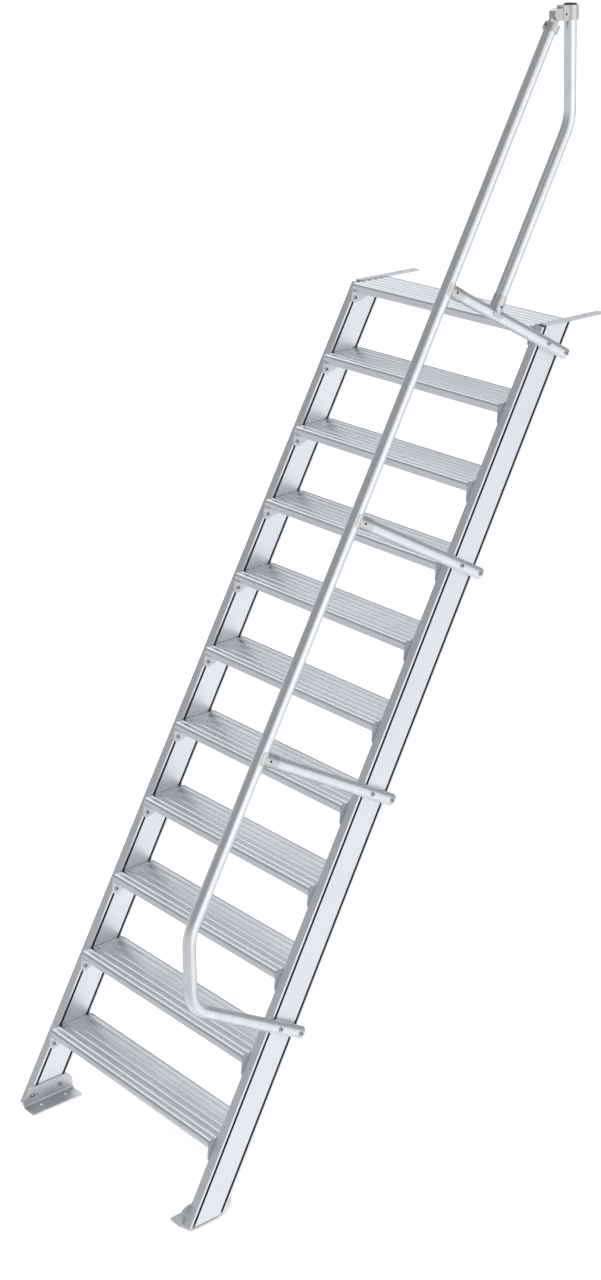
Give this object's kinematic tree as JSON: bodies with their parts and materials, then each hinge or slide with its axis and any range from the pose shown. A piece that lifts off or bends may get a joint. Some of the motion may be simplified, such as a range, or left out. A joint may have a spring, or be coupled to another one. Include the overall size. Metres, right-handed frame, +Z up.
{
  "type": "ship ladder",
  "caption": "Steep industrial ladder with ribbed treads between slotted stringers, a tubular handrail on struts, floor angles and top fixing tabs.",
  "frame": {"origin": "on the underside of the left foot bracket's flange, at the middle of its length and width", "axes": "+X across the ladder towards the handrail's side, +Y the way one climbs, +Z up"},
  "size_m": [0.9025, 1.5954, 3.2469],
  "materials": {
    "stringer": "drawn extrusion, mill finish",
    "tread": "ribbed extrusion, mill finish",
    "bracket": "pressed sheet and flat bar, satin",
    "tube": "smooth drawn tube, satin",
    "casting": "cast fitting, matt",
    "cap": "moulded black plastic"
  },
  "bodies": {
    "root": {"stringer_left": "stringer", "foot_bracket_left": "bracket", "top_tab_left": "bracket", "stringer_right": "stringer", "foot_bracket_right": "bracket", "top_tab_right": "bracket", "tread_01": "tread", "tread_plates_01": "bracket", "tread_02": "tread", "tread_plates_02": "bracket", "tread_03": "tread", "tread_plates_03": "bracket", "tread_04": "tread", "tread_plates_04": "bracket", "tread_05": "tread", "tread_plates_05": "bracket", "tread_06": "tread", "tread_plates_06": "bracket", "tread_07": "tread", "tread_plates_07": "bracket", "tread_08": "tread", "tread_plates_08": "bracket", "tread_09": "tread", "tread_plates_09": "bracket", "tread_10": "tread", "tread_plates_10": "bracket", "tread_11": "tread", "tread_plates_11": "bracket", "handrail": "tube", "post": "tube", "strut_lower": "tube", "rail_clamp_lower": "casting", "strut_middle": "tube", "rail_clamp_middle": "casting", "strut_upper": "tube", "rail_clamp_upper": "casting", "post_tee": "casting", "post_swivel_clamp": "casting", "rail_end_knuckle": "casting", "post_cap": "cap"}
  },
  "joints": []
}
